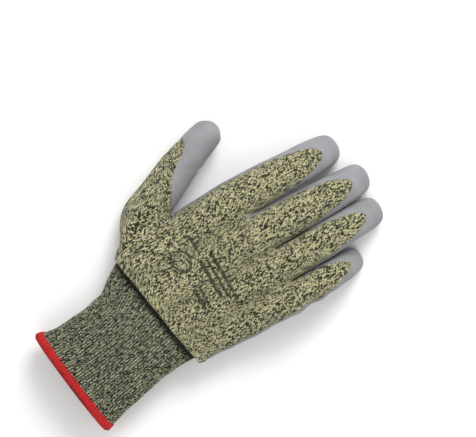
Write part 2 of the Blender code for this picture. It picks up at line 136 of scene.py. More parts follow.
# The rings of the edge over the cuff: forward of the ledge, and out
LIP = ((0.0030, -0.0030), (-0.0004, -0.0018), (0.0002, 0.0002), (0.0044, 0.0))
HOLE_Y = (-0.015, -0.004, 0.006, 0.017)  # where the ball of the thumb leaves the hand
HOLE_COLUMNS = (15, 18)
PALM_END_Y = 0.030
BAND_RINGS = (0.039, KNUCKLE_Y, 0.0540)
BAND_END_Y = 0.0605
VALLEY_RISE = 0.62  # the height of a valley between fingers, as a share of the hand's
SIDE_KNIT = 0.006  # the width of knit that turns each edge of the hand

# Cuff
CUFF_RINGS = (  # y, radial edge, ulnar edge, middle height, half height
    (LEDGE_Y + 0.005, -0.0410, 0.0420, 0.0138, 0.0112),
    (LEDGE_Y - 0.002, -0.0400, 0.0412, 0.0136, 0.0108),
    (-0.034, -0.0344, 0.0408, 0.0152, 0.0132),
    (-0.046, -0.0266, 0.0418, 0.0161, 0.0143),
    (-0.060, -0.0238, 0.0447, 0.0163, 0.0144),
    (-0.084, -0.0222, 0.0494, 0.0168, 0.0145),
    (-0.098, -0.0246, 0.0540, 0.0170, 0.0145),
)
CUFF_ROUNDNESS = 2.5
CUFF_GIRTH = 0.180
CUFF_SPLIT_Y = -0.046
CUFF_END_Y = -0.098
CUFF_STEP = 0.0017
CUFF_RIPPLE = 0.0009
CUFF_RIPPLE_SCALES = (40, 95, 60)
EVEN_STEPS = 720
ELASTIC_TURNS = 5
ELASTIC_STEPS = 60  # of each turn
ELASTIC_RADIUS = 0.0004
ELASTIC_SIDES = 6
ELASTIC_Y = (-0.048, -0.088)
RIBS = 92
RIB_SAMPLES = 6
RIB_DEPTH = 0.0007
RIB_MEAN = 0.6  # the height of the fabric's outside, as a share of a rib's

# Hem
HEM_WRAPS = 168
HEM_TOP = 0.0046  # its width
HEM_OUT = 0.0006  # how far the thread's middle stands off the fabric
THREAD_RADIUS = 0.00068
THREAD_SIDES = 7

# What is coated
TONGUE = (  # distance back from the tip of a finger's bare knit, and degrees of knit to each side
    (0, 0),
    (0.0008, 10),
    (0.0025, 18),
    (0.0055, 27),
    (0.0110, 38),
    (0.0200, 51),
    (0.034, 64),
    (0.060, 76),
)
TONGUE_TIP = 0.0195  # from the fingertip
ROOT_SPREAD = {  # degrees of knit at the root, to the thumb's side and to the little finger's
    "index": (66, 64),
    "middle": (66, 92),
    "ring": (90, 90),
    "little": (88, 58),
}
THUMB_EDGE = (  # distance from the thumb's root, and the angles between which it is knit
    (-0.035, -50, 118),
    (-0.0045, -48, 180),
    (0.000, -14, 184),
    (0.011, 27, 186),
    (0.030, 56, 184),
    (0.0355, 74, 160),
    (0.0385, 112, 118),
    (0.0600, 114.9, 115.1),
)
THUMB_TONGUE_S = 0.0385  # where the thumb's bare knit starts to close
# The hand's bare knit: (place along, place across) of its two edges
HAND_RADIAL = ((-0.03, -0.0520), (0.020, -0.0515), (0.045, -0.0496), (BAND_END_Y, -0.0496))
HAND_ULNAR = ((-0.03, 0.0490), (0.030, 0.0484), (BAND_END_Y, 0.0484))
COAT_START = 0.008  # from the ledge, under the palm

# Unevenness: height, width of its features, seed
EDGE_WOBBLES = ((0.0004, 0.004, 1), (0.0005, 0.011, 2))  # of the coating's edge
BUMPS = ((0.0006, 0.022, 3), (0.00012, 0.007, 4))
PUCKERS = (0.0012, 0.009, 5)  # along the little finger's edge of the hand
PUCKER_FROM = 0.034
PUCKER_FADE = 0.012

# Creases under the digits' joints
CREASE_DEPTH = 0.00075
CREASE_WIDTH = 0.0013
CREASE_REACH = 0.012
CREASE_BOW = 0.0012
WELT_HEIGHT = 0.00025  # on each side of a crease
WELT_WIDTH = 0.0020
WELT_OFFSET = 0.0035

# Distances in from the pieces' borders, at which points along the digits are taken
SPLIT_MARGIN = 0.0018
ROOT_MARGIN = 0.0030
BASE_MARGIN = 0.0005
THUMB_MARGIN = 0.001

# Print: middle across, middle along, half width, half length of each bar
MARKS = (
    (-0.0265, 0.0210, 0.0062, 0.0010),
    (0.0040, 0.0280, 0.0170, 0.0012),
    (0.0025, 0.0237, 0.0150, 0.0008),
    (0.0020, 0.0195, 0.0140, 0.0012),
    (0.0100, 0.0105, 0.0085, 0.0008),
    (0.0110, 0.0065, 0.0095, 0.0014),
)
MARK_RING = (-0.0185, 0.0085, 0.0085, 0.0062, 0.09)  # middle, half sizes, half its width as their share
MARK_BLUR = 0.0004

# Studio
PICTURE_WIDTH = 0.3197  # how much of the table the picture's width takes in
AIM = Vector((-0.0245, 0.0551, 0.015))
HEADING = math.radians(30.25)  # of the fingers, up from the picture's right
LENS = 120
FLOOR_HALF = 3.0
WORLD_STRENGTH = 0.70
LIGHTS = (("key", (-0.7, 0.9, 1.0), 0.7, 16), ("fill", (0.8, -0.3, 1.3), 1.0, 4))  # place, size, power

# Scales of the materials' grain, in features per metre
FIBRE_GRAIN = 2600.0
WORN_GRAIN = 420.0
FILM_BROAD_GRAIN = 70.0
FILM_FINE_GRAIN = 1500.0
THREAD_GRAIN = 1400.0

# Colours, as the eye sees them
KNIT_DARK = (16, 15, 5)
KNIT_LIGHT = (236, 231, 180)
# Near black painted shade: in the knit's gaps, in the rib's valleys and under the edge over the cuff
PAINTED_SHADE = (10, 10, 6)
RIB_DARK = (14, 16, 8)
RIB_LIGHT = (205, 209, 170)
COAT = (147, 147, 150)
COAT_DEEP = (122, 122, 125)
RED = (205, 12, 14)
RED_DEEP = (120, 6, 8)
ELASTIC = (215, 214, 206)
ELASTIC_DEEP = (150, 150, 140)
PRINT = (38, 38, 32)

# Numbers and shapes


def mixed(table, at):
    """The values at a place along rows of (place, value, ...), with straight lines between them."""
    places = [row[0] for row in table]
    found = [float(np.interp(at, places, values)) for values in list(zip(*table))[1:]]
    return found[0] if len(found) == 1 else found


def eased(share):
    share = np.clip(share, 0, 1)
    return share * share * (3 - 2 * share)


def rounded(degrees, power=ROUNDNESS):
    c, s = math.cos(math.radians(degrees)), math.sin(math.radians(degrees))
    return math.copysign(abs(c) ** (2 / power), c), math.copysign(abs(s) ** (2 / power), s)


def bumps(points, height, width, seed):
    """Smooth noise up to height at each point, with features of about that width."""
    shift = Vector((seed * 7.1, seed * 3.7, seed * 1.9))
    return height * np.array([noise.noise(Vector(p) / width + shift) for p in points])


def add_object(name, data):
    made = bpy.data.objects.new(name, data)
    bpy.context.scene.collection.objects.link(made)
    return made


# The cage


class Cage:
    """Quads between rings of points. Each has a patch, and its corners have places on the knit."""

    def __init__(self):
        self.points, self.faces, self.places, self.patches = [], [], [], []

    def ring(self, points):
        first = len(self.points)
        self.points += [Vector(p) for p in points]
        return list(range(first, len(self.points)))

    def strip(self, near, far, patch, around, along, skip=()):
        """Quads between two rings. around has each cell's two places across, and along the rings' two."""
        count = len(near)
        for j in range(count):
            if j in skip:
                continue
            k = (j + 1) % count
            self.faces.append((near[j], far[j], far[k], near[k]))
            (a, b), (v, w) = around[j], along
            self.places.append(((a, v), (a, w), (b, w), (b, v)))
            self.patches.append(patch)

    def cap(self, near, tip, patch, around, along):
        for j in range(len(near)):
            self.faces.append((near[j], tip, near[(j + 1) % len(near)]))
            (a, b), (v, w) = around[j], along
            self.places.append(((a, v), ((a + b) / 2, w), (b, v)))
            self.patches.append(patch)


def subdivide(points, cage, levels):
    """(points, faces, each face's patch, each corner's place on the knit) of the smooth surface."""
    mesh = bpy.data.meshes.new("cage")
    mesh.from_pydata([tuple(p) for p in points], [], cage.faces)
    patch = mesh.attributes.new("patch", "INT", "FACE")
    patch.data.foreach_set("value", cage.patches)
    layer = mesh.uv_layers.new(name="UVMap")
    layer.data.foreach_set("uv", [value for face in cage.places for place in face for value in place])
    made = add_object("cage", mesh)
    modifier = made.modifiers.new("smooth", "SUBSURF")
    modifier.levels = levels
    modifier.uv_smooth = "NONE"
    smooth = made.evaluated_get(bpy.context.evaluated_depsgraph_get()).to_mesh()
    places = np.zeros(len(smooth.vertices) * 3)
    smooth.vertices.foreach_get("co", places)
    corners = np.zeros(len(smooth.loops), int)
    smooth.loops.foreach_get("vertex_index", corners)
    patches = np.zeros(len(smooth.polygons), int)
    smooth.attributes["patch"].data.foreach_get("value", patches)
    knit = np.zeros(len(smooth.loops) * 2)
    smooth.uv_layers["UVMap"].data.foreach_get("uv", knit)
    bpy.data.objects.remove(made)
    bpy.data.meshes.remove(mesh)
    return places.reshape(-1, 3), corners.reshape(-1, 4), patches, knit.reshape(-1, 4, 2)


def fitted(cage):
    """The cage's points moved so that the smooth surface passes through where they were."""
    wanted = np.array([tuple(p) for p in cage.points])
    guess = wanted.copy()
    for _ in range(FIT_STEPS):
        guess += wanted - subdivide(guess, cage, 1)[0][: len(wanted)]
    return guess


# Digits


class Digit:
    """A finger or the thumb, along the joints that it bends at."""

    def __init__(self, name, joints, widths, thickness, tip_turn):
        self.name, self.widths, self.thickness = name, widths, thickness
        axis = Vector(JOINTS[joints[0]]["axis"])
        self.side = axis if axis.x > 0 else -axis
        self.joints = [Vector(JOINTS[joint]["pos_m"]) for joint in joints]
        self.alongs = [(b - a).normalized() for a, b in zip(self.joints, self.joints[1:])]
        if tip_turn is None:
            tip_turn = self.alongs[0].angle(self.alongs[1])
        self.alongs.append(Matrix.Rotation(-tip_turn, 3, self.side) @ self.alongs[-1])
        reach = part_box(name + "_tip_coating")[1].y - self.joints[-1].y
        self.lengths = [(b - a).length for a, b in zip(self.joints, self.joints[1:])]
        self.lengths.append(reach / self.alongs[-1].y)
        self.starts = np.cumsum([0] + self.lengths)
        self.total = self.starts[-1]
        self.dome = widths[1] * DOME_SHARE
        self.reach = widths[0] * REACH

    def half_sizes(self, s):
        def half_width(at):
            share = min(1.0, max(0.0, at / (self.total - self.dome)))
            return (self.widths[0] + (self.widths[1] - self.widths[0]) * share**TAPER) / 2

        share = min(1.0, max(0.0, s / self.lengths[0]))
        half = half_width(s)
        return half, self.thickness / 2 * (1 - share) + half * FLATNESS * share

    def frame_at(self, s):
        """(centre, direction) at a distance from the root. At a joint the direction is halfway."""
        part = int(np.clip(np.searchsorted(self.starts, s, side="right") - 1, 0, len(self.alongs) - 1))
        centre = self.joints[part] + self.alongs[part] * (s - self.starts[part])
        along = self.alongs[part]
        if part and s - self.starts[part] < 1e-6:
            along = (along + self.alongs[part - 1]).normalized()
        return centre, along

    def ring(self, s, angles, shrink=1.0):
        centre, along = self.frame_at(s)
        up = self.side.cross(along)
        half_width, half_height = self.half_sizes(s)
        points = []
        for degrees in angles:
            across, rise = rounded(degrees)
            points.append(centre + (self.side * half_width * across + up * half_height * rise) * shrink)
        return points

    def dome_ring(self, degrees, angles):
        s = self.total - self.dome * (1 - math.sin(math.radians(degrees)))
        return s, self.ring(s, angles, math.cos(math.radians(degrees)))

    def cells(self, angles, seam, middle):
        """Each cell's two places across the knit. The pattern's two sides meet at the seam, underneath."""
        places = [middle - self.reach * math.radians(angle - 90) for angle in (*angles, angles[0] + 360)]
        pairs = list(zip(places, places[1:]))
        turn = FULL_TURN * self.reach
        return pairs[:seam] + [(a + turn, b + turn) for a, b in pairs[seam:]]


def finger_cells(name):
    return DIGITS[name].cells(FINGER_ANGLES, FINGER_SEAM, DIGITS[name].joints[0].x)


# The hand's rings


def hand_columns():
    """(x, how far up or down, whether it is between two fingers) of each point of a ring at the roots."""
    upper = []
    for name in reversed(NAMES):
        x = DIGITS[name].joints[0].x
        half = FINGERS[name][0] / 2
        for degrees in FINGER_ANGLES[:5]:
            across, rise = rounded(degrees)
            upper.append([x + across * half, rise, False])
    merged = upper[:4]
    for k in range(1, 4):
        before, after = upper[5 * k - 1], upper[5 * k]
        merged.append([(before[0] + after[0]) / 2, before[1], True])
        merged += upper[5 * k + 1 : 5 * k + 4]
    merged.append(upper[-1])
    lower = [[x, -rise, valley] for x, rise, valley in reversed(merged)]
    return merged + lower


def hand_slope(y):
    """How far the hand's ring at y runs forward per metre across."""
    return LEDGE_SKEW * float(eased((SKEW_END - y) / (SKEW_END - LEDGE_Y)))


def hand_ring(y, out=0.0):
    """The hand's section at y. Behind the knuckles it is an oval, and at the roots it has the fingers'."""
    share = float(eased((y - HOLE_Y[2]) / (BAND_END_Y - HOLE_Y[2])))
    radial, ulnar = mixed(RADIAL_EDGE, y), mixed(ULNAR_EDGE, y)
    half_height = mixed(THICKNESS, y) / 2
    height = mixed(UNDERSIDE, y) + half_height
    points = []
    for x, rise, valley in COLUMNS:
        across = x / HALF_PALM
        half = (ulnar - radial) / 2 + out
        oval_x = (ulnar + radial) / 2 + across * half
        up = (1 - min(1.0, abs(across)) ** FULLNESS) ** (1 / FULLNESS)
        oval_z = math.copysign(up, rise) * (half_height + out)
        if valley:
            rise = math.copysign(VALLEY_RISE, rise)
        root_z = rise * (half_height + out)
        place = Vector((oval_x + (x - oval_x) * share, y, oval_z + (root_z - oval_z) * share))
        place.z += height + mixed(ARCH, y) * (1 - across * across)
        place.y += hand_slope(y) * place.x
        place.z = max(place.z, CAGE_CLEAR)
        points.append(place)
    return points


def hand_cells():
    """Each column's places across the knit: the fingers' on the back, and on from them under the palm."""
    upper = {}
    for k, name in enumerate(reversed(NAMES)):
        for column, cell in zip(range(4 * k, 4 * k + 4), finger_cells(name)):
            upper[column] = list(cell)
    for column in (4, 8, 12):
        upper[column - 1][1] = upper[column][0] = COLUMNS[column][0]
    cells = [tuple(upper[column]) for column in range(16)]
    radial, ulnar = cells[-1][1], cells[0][0]
    bottom_r = [radial - SIDE_KNIT + COLUMNS[17][0] - COLUMNS[j][0] for j in range(17, 26)]
    bottom_u = [ulnar + SIDE_KNIT + (COLUMNS[33][0] - COLUMNS[j][0]) for j in range(25, 34)]
    cells.append((radial, bottom_r[0]))
    cells += list(zip(bottom_r, bottom_r[1:]))
    cells += list(zip(bottom_u, bottom_u[1:]))
    cells.append((bottom_u[-1], ulnar))
    return cells


DIGITS = {}
for finger_name, finger_widths in FINGERS.items():
    bends = [f"{finger_name}_{part}_bend" for part in ("root", "middle", "tip")]
    DIGITS[finger_name] = Digit(finger_name, bends, finger_widths, 0.022, None)
THUMB = Digit("thumb", ["thumb_root_bend", "thumb_tip_bend"], THUMB_WIDTHS, THUMB_THICKNESS, THUMB_TIP_TURN)
COLUMNS = hand_columns()

PATCHES = ["palm", "ball", "knuckles"]
PATCHES += [f"{name}_{part}" for name in NAMES for part in ("base", "middle", "tip")]
PATCHES += ["thumb_middle", "thumb_tip"]
PATCH = {name: number for number, name in enumerate(PATCHES)}


def build_hand(cage):
    """Makes the hand's rings and returns those around the ball of the thumb, and the last one."""
    cells = hand_cells()
    stations = [(LEDGE_Y + step, out) for step, out in LIP]
    stations += [(y, 0.0) for y in HOLE_Y] + [(PALM_END_Y, 0.0)]
    stations += [(y, 0.0) for y in (*BAND_RINGS, BAND_END_Y)]
    rings = [cage.ring(hand_ring(y, out)) for y, out in stations]
    hole = set(range(*HOLE_COLUMNS))
    for i, ((y, _), (far_y, _)) in enumerate(zip(stations, stations[1:])):
        patch = "palm" if far_y <= PALM_END_Y else "knuckles"
        skip = hole if HOLE_Y[0] <= y < HOLE_Y[-1] else ()
        cage.strip(rings[i], rings[i + 1], PATCH[patch], cells, (y, far_y), skip)
    first = len(LIP)
    return rings[first : first + len(HOLE_Y)], rings[-1]


def digit_rows(digit, first, splits):
    """(distance from the root, part) of a digit's rings before its rounded end."""
    rows = []
    parts = len(digit.lengths)
    for part, (start, length) in enumerate(zip(digit.starts, digit.lengths)):
        if part < parts - 1:
            rows += [start + length * splits[part], digit.starts[part + 1]]
    rows.append(digit.total - digit.dome)
    return [s for s in rows if s > first + 0.004]


def build_digit(cage, digit, ring, first, angles, cells, patches, splits):
    """A digit from a ring that is there already. Its patches meet at splits, shares of its phalanges."""
    changes = [digit.starts[i] + digit.lengths[i] * share for i, share in enumerate(splits)]
    s = first
    for row in digit_rows(digit, first, splits):
        made = cage.ring(digit.ring(row, angles))
        patch = patches[sum(row > change + 1e-6 for change in changes)]
        cage.strip(ring, made, PATCH[patch], cells, (ROOT_Y + s, ROOT_Y + row))
        ring, s = made, row
    for degrees in DOME_TURNS:
        row, points = digit.dome_ring(degrees, angles)
        made = cage.ring(points)
        cage.strip(ring, made, PATCH[patches[-1]], cells, (ROOT_Y + s, ROOT_Y + row))
        ring, s = made, row
    centre, along = digit.frame_at(digit.total - digit.dome)
    tip = cage.ring([centre + along * digit.dome])[0]
    cage.cap(ring, tip, PATCH[patches[-1]], cells, (ROOT_Y + s, ROOT_Y + digit.total))


def build_crotches(cage):
    """The two points at which each pair of neighbouring fingers part."""
    made = {}
    for (left, right), y in CROTCH_Y.items():
        a, b = DIGITS[left], DIGITS[right]
        x = (a.joints[0].x + FINGERS[left][0] / 2 + b.joints[0].x - FINGERS[right][0] / 2) / 2
        z = (a.joints[0].z + b.joints[0].z) / 2
        made[left, right] = cage.ring([(x, y, z + CROTCH_HALF), (x, y, z - CROTCH_HALF)])
    return made


def build_fingers(cage, last):
    crotches = build_crotches(cage)
    for k, name in enumerate(reversed(NAMES)):
        digit = DIGITS[name]
        cells = finger_cells(name)
        behind = last[4 * k : 4 * k + 5] + last[29 - 4 * k : 34 - 4 * k]
        points = digit.ring(FINGER_FIRST, FINGER_ANGLES)
        place = NAMES.index(name)
        radial = crotches.get((NAMES[place - 1], name)) if place else None
        ulnar = crotches.get((name, NAMES[place + 1])) if place < 3 else None
        ids = []
        for j, point in enumerate(points):
            shared = {0: ulnar, 9: ulnar, 4: radial, 5: radial}.get(j)
            ids.append(shared[0 if j in (0, 4) else 1] if shared else cage.ring([point])[0])
        skip = [j for j, side in ((4, radial), (9, ulnar)) if side]
        patches = [f"{name}_{part}" for part in ("base", "middle", "tip")]
        along = (BAND_END_Y, ROOT_Y + FINGER_FIRST)
        cage.strip(behind, ids, PATCH[patches[0]], cells, along, skip)
        build_digit(cage, digit, ids, FINGER_FIRST, FINGER_ANGLES, cells, patches, FINGER_SPLITS)


def build_thumb(cage, hole):
    """The ball of the thumb, from the hole in the hand's side, and the thumb beyond it."""
    top, bottom = HOLE_COLUMNS
    near, far = hole[0], hole[-1]
    ring = [row[top] for row in reversed(hole)]
    ring += [near[column] for column in range(top + 1, bottom)]
    ring += [row[bottom] for row in hole]
    ring += [far[column] for column in range(bottom - 1, top, -1)]
    target = THUMB.ring(THUMB_START, THUMB_ANGLES)
    cells = THUMB.cells(THUMB_ANGLES, THUMB_SEAM, 0.0)
    origin = [cage.points[number] for number in ring]
    before = 0.0
    for share in BALL_SHARES + (1.0,):
        points = []
        for a, b in zip(origin, target):
            bulge = (a - b).length_squared * BALL_FULLNESS
            control = (a + b) / 2 + Vector((-1, -1, 0)).normalized() * bulge
            points.append(a.lerp(control, share).lerp(control.lerp(b, share), share))
        for point in points:
            point.z = max(point.z, CAGE_CLEAR)
        made = cage.ring(points)
        along = [ROOT_Y + THUMB_START - BALL_LENGTH * (1 - part) for part in (before, share)]
        cage.strip(ring, made, PATCH["ball"], cells, along)
        ring, before = made, share
    patches = ["thumb_middle", "thumb_tip"]
    build_digit(cage, THUMB, ring, THUMB_START, THUMB_ANGLES, cells, patches, THUMB_SPLITS)


# What is coated: the distance inwards from the coating's edge, in metres, at places on the knit


def between(table, at):
    places, values = zip(*table)
    return np.interp(at, places, values)


def finger_cover(name, across, along):
    digit = DIGITS[name]
    degrees = np.degrees((across - digit.joints[0].x) / digit.reach)
    s = along - ROOT_Y
    behind = digit.total - TONGUE_TIP - s
    spread = between(TONGUE, np.maximum(behind, 0))
    root = eased(1 - s / (digit.lengths[0] + digit.lengths[1] * 0.6))
    sides = np.where(degrees < 0, ROOT_SPREAD[name][0], ROOT_SPREAD[name][1])
    spread = spread + (sides - spread) * root
    off_side = np.radians(np.abs(degrees) - spread) * digit.reach
    off_tip = np.hypot(np.radians(degrees) * digit.reach, np.minimum(behind, 0))
    return np.where(behind > 0, off_side, off_tip)


def thumb_cover(across, along):
    degrees = 90 - np.degrees(across / THUMB.reach)
    s = along - ROOT_Y
    places, low, high = zip(*THUMB_EDGE)
    low, high = np.interp(s, places, low), np.interp(s, places, high)
    off = np.radians(np.maximum(low - degrees, degrees - high)) * THUMB.reach
    beyond = np.maximum(s - THUMB_TONGUE_S, 0)
    return np.where(beyond > 0, np.hypot(np.maximum(off, 0), beyond), off)


def hand_cover(across, along):
    off = np.maximum(between(HAND_RADIAL, along) - across, across - between(HAND_ULNAR, along))
    return np.minimum(off, along - LEDGE_Y - COAT_START)


def cover(patch, across, along, points):
    if patch in ("ball", "thumb_middle", "thumb_tip"):
        found = thumb_cover(across, along)
    elif patch in ("palm", "knuckles"):
        found = hand_cover(across, along)
    else:
        found = finger_cover(patch.split("_")[0], across, along)
    return found + sum(bumps(points, *wobble) for wobble in EDGE_WOBBLES)


# Meshes


def vertex_normals(points, faces):
    across = points[faces[:, 2]] - points[faces[:, 0]]
    along = points[faces[:, 3]] - points[faces[:, 1]]
    facing = np.cross(across, along)
    total = np.zeros_like(points)
    for corner in range(4):
        np.add.at(total, faces[:, corner], facing)
    return total / np.maximum(np.linalg.norm(total, axis=1), 1e-12)[:, None]


def clipped(faces, distance):
    """(faces, a, b, share) of where distance is above 0, over points a share of the way from a to b."""
    made, numbers, sources = [], {}, []

    def point(a, b, share):
        key = (a, b)
        if key not in numbers:
            numbers[key] = len(sources)
            sources.append((a, b, share))
        return numbers[key]

    for face in faces:
        loop = []
        for a, b in zip(face, np.roll(face, -1)):
            if distance[a] > 0:
                loop.append(point(a, a, 0.0))
            if (distance[a] > 0) != (distance[b] > 0):
                low, high = (a, b) if a < b else (b, a)
                share = distance[low] / (distance[low] - distance[high])
                loop.append(point(low, high, min(0.97, max(0.03, share))))
        if len(loop) > 2:
            made.append(tuple(loop))
    return made, *(np.array(column) for column in zip(*sources))


def closed(name, outer, inner, faces, normals, knit, paint):
    """A closed shell between two layers of the same faces, smooth across its borders."""
    count = len(outer)
    edges = set()
    for face in faces:
        edges |= set(zip(face, face[1:] + face[:1]))
    rim = sorted((a, b) for a, b in edges if (b, a) not in edges)
    polygons = [tuple(face) for face in faces]
    polygons += [tuple(count + number for number in reversed(face)) for face in faces]
    polygons += [(b, a, count + a, count + b) for a, b in rim]
    mesh = bpy.data.meshes.new(name)
    mesh.from_pydata(np.vstack([outer, inner]).tolist(), [], polygons)
    both = np.vstack([knit, knit])
    corners = np.zeros(len(mesh.loops), int)
    mesh.loops.foreach_get("vertex_index", corners)
    mesh.uv_layers.new(name="UVMap").data.foreach_set("uv", both[corners].ravel())
    mesh.shade_smooth()
    mesh.normals_split_custom_set_from_vertices(np.vstack([normals, -normals]).tolist())
    mesh.materials.append(paint)
    return add_object(name, mesh)


def relief(points, normals):
    """How far the fabric stands out: soft unevenness, and creases where the digits bend."""
    edge = eased((points[:, 0] - PUCKER_FROM) / PUCKER_FADE)
    out = edge * bumps(points * (0, 1, 0), *PUCKERS)
    out += sum(bumps(points, *kind) for kind in BUMPS)
    for digit in [*DIGITS.values(), THUMB]:
        for i, joint in enumerate(digit.joints[1:]):
            along = (digit.alongs[i] + digit.alongs[i + 1]).normalized()
            up = digit.side.cross(along)
            offset = points - np.array(joint)
            s = offset @ np.array(along)
            rise = offset @ np.array(up) / digit.half_sizes(digit.starts[i + 1])[1]
            beside = np.abs(offset @ np.array(digit.side)) < digit.widths[0] * 0.51
            under = np.clip(-rise, 0, 1) ** 0.6 * beside * (np.abs(s) < CREASE_REACH)
            off = s - CREASE_BOW * (1 - np.clip(-rise, 0, 1))
            out -= CREASE_DEPTH * np.exp(-((off / CREASE_WIDTH) ** 2)) * under
            for side in (WELT_OFFSET, -WELT_OFFSET):
                out += WELT_HEIGHT * np.exp(-(((off - side) / WELT_WIDTH) ** 2)) * under
    return out


# Materials


def light(colour):
    """The scene's colour for one given as the eye sees it, from 0 to 255."""
    return tuple(((c / 255 + 0.055) / 1.055) ** 2.4 if c > 10 else c / 255 / 12.92 for c in colour) + (1.0,)


class Paint:
    """A material whose nodes are made one by one. A value is a number or another node's output."""

    def __init__(self, name):
        self.material = bpy.data.materials.new(name)
        self.material.use_nodes = True
        self.tree = self.material.node_tree
        self.shader = self.tree.nodes["Principled BSDF"]

    def node(self, kind, **settings):
        made = self.tree.nodes.new("ShaderNode" + kind)
        for key, value in settings.items():
            setattr(made, key, value)
        return made

    def put(self, socket, value):
        if isinstance(value, bpy.types.NodeSocket):
            self.tree.links.new(value, socket)
        else:
            socket.default_value = value

    def math(self, operation, a, b=0.0, clamp=False):
        made = self.node("Math", operation=operation, use_clamp=clamp)
        self.put(made.inputs[0], a)
        self.put(made.inputs[1], b)
        return made.outputs[0]

    def vector(self, x, y, z=0.0):
        made = self.node("CombineXYZ")
        for socket, value in zip(made.inputs, (x, y, z)):
            self.put(socket, value)
        return made.outputs[0]

    def blend(self, share, a, b):
        made = self.node("Mix", data_type="RGBA")
        self.put(made.inputs["Factor"], share)
        self.put(made.inputs[6], a)
        self.put(made.inputs[7], b)
        return made.outputs[2]

    def between(self, value, low, high):
        """0 below low, 1 above high, eased between them."""
        made = self.node("MapRange", interpolation_type="SMOOTHSTEP")
        for socket, given in zip(made.inputs[:3], (value, low, high)):
            self.put(socket, given)
        return made.outputs[0]

    def noise(self, vector, scale, detail=2.0):
        made = self.node("TexNoise")
        self.put(made.inputs["Vector"], vector)
        self.put(made.inputs["Scale"], scale)
        self.put(made.inputs["Detail"], detail)
        return made.outputs["Fac"]

    def random(self, vector):
        made = self.node("TexWhiteNoise", noise_dimensions="3D")
        self.put(made.inputs["Vector"], vector)
        return made.outputs["Value"]

    def knit_places(self):
        split = self.node("SeparateXYZ")
        self.put(split.inputs[0], self.node("UVMap").outputs[0])
        return split.outputs[0], split.outputs[1]

    def finish(self, colour, roughness, height, strength, depth):
        bump = self.node("Bump")
        bump.inputs["Strength"].default_value = strength
        bump.inputs["Distance"].default_value = depth
        self.put(bump.inputs["Height"], height)
        self.put(self.shader.inputs["Normal"], bump.outputs[0])
        self.put(self.shader.inputs["Base Color"], colour)
        self.shader.inputs["Roughness"].default_value = roughness
        return self.material


def knit_paint(name, dark, bright, marks=(), rib=None):
    """Melange knit: rows of V stitches of a dark and a bright yarn twisted together, with painted shade
    darkening the gaps between them.
    """
    paint = Paint(name)
    across, along = paint.knit_places()
    wales = paint.math("DIVIDE", across, WALE)
    offset = paint.math("SUBTRACT", paint.math("FRACT", wales), 0.5)
    spread = paint.math("ABSOLUTE", offset)
    rows = paint.math("ADD", paint.math("DIVIDE", along, COURSE), paint.math("MULTIPLY", spread, 1.7))
    row = paint.math("ADD", paint.math("FLOOR", rows), 0.5)
    leg = paint.math("ADD", paint.math("FLOOR", paint.math("MULTIPLY", wales, 2.0)), 0.5)
    twist = paint.math("ADD", rows, paint.math("MULTIPLY", leg, 0.5))
    turn = paint.math("SINE", paint.math("MULTIPLY", twist, FULL_TURN))
    mottle = paint.math("MULTIPLY", paint.random(paint.vector(leg, row, 3.5)), 0.70)
    mottle = paint.math("ADD", mottle, paint.math("MULTIPLY", turn, 0.28))
    shade = paint.between(mottle, 0.38, 0.60)
    fibre = paint.math("SUBTRACT", paint.noise(paint.vector(across, along), FIBRE_GRAIN, 2.0), 0.5)
    shade = paint.math("ADD", shade, paint.math("MULTIPLY", fibre, 0.5), clamp=True)
    colour = paint.blend(shade, light(dark), light(bright))
    ridge = paint.math("SUBTRACT", paint.math("MULTIPLY", spread, 4.0), 1.0)
    ridge = paint.math("SUBTRACT", 1.0, paint.math("MULTIPLY", ridge, ridge))
    strand = paint.math("SUBTRACT", paint.math("MULTIPLY", paint.math("FRACT", rows), 2.0), 1.0)
    strand = paint.math("SUBTRACT", 1.0, paint.math("MULTIPLY", strand, strand))
    height = paint.math("SQRT", paint.math("MULTIPLY", ridge, strand, clamp=True))
    # Painted shade: the colour goes near black where the stitch height is low, in the gaps between strands
    gap_shade = paint.between(height, 0.05, 0.60)
    colour = paint.blend(gap_shade, paint.blend(0.75, colour, light(PAINTED_SHADE)), colour)
    if rib:
        # Painted shade in the rib's valleys: the colour darkens between the ribs
        wave = paint.math("ABSOLUTE", paint.math("SINE", paint.math("MULTIPLY", across, math.pi / rib)))
        valley = paint.blend(0.75, colour, light(PAINTED_SHADE))
        colour = paint.blend(paint.between(wave, 0.1, 0.8), valley, colour)
        # Painted shadow of the palm's edge over the cuff: the rib darkens toward the ledge
        ledge_shadow = paint.between(along, LEDGE_Y - 0.0060, LEDGE_Y - 0.0020)
        colour = paint.blend(paint.math("MULTIPLY", ledge_shadow, 0.85), colour, light(PAINTED_SHADE))
    if marks:
        worn = paint.between(paint.noise(paint.vector(across, along), WORN_GRAIN, 3.0), 0.26, 0.46)
        inked = paint.math("MULTIPLY", printed(paint, across, along, marks), worn)
        colour = paint.blend(paint.math("MULTIPLY", inked, 0.85), colour, light(PRINT))
    paint.shader.inputs["Sheen Weight"].default_value = 0.12
    paint.shader.inputs["Specular IOR Level"].default_value = 0.25
    return paint.finish(colour, 0.9, height, 0.8, 0.0005)


def printed(paint, across, along, marks):
    """Where the ink is: a plain oval, and plain bars."""
    x, y, half_x, half_y, width = MARK_RING
    round_x = paint.math("DIVIDE", paint.math("SUBTRACT", across, x), half_x)
    round_y = paint.math("DIVIDE", paint.math("SUBTRACT", along, y), half_y)
    off = paint.math("MULTIPLY", round_x, round_x)
    off = paint.math("ADD", off, paint.math("MULTIPLY", round_y, round_y))
    off = paint.math("ABSOLUTE", paint.math("SUBTRACT", paint.math("SQRT", off), 1.0))
    total = paint.between(off, 1.5 * width, width)
    for x, y, half_x, half_y in marks:
        off_x = paint.math("SUBTRACT", paint.math("ABSOLUTE", paint.math("SUBTRACT", across, x)), half_x)
        off_y = paint.math("SUBTRACT", paint.math("ABSOLUTE", paint.math("SUBTRACT", along, y)), half_y)
        inside = paint.between(paint.math("MAXIMUM", off_x, off_y), MARK_BLUR, -MARK_BLUR)
        total = paint.math("MAXIMUM", total, inside)
    return total


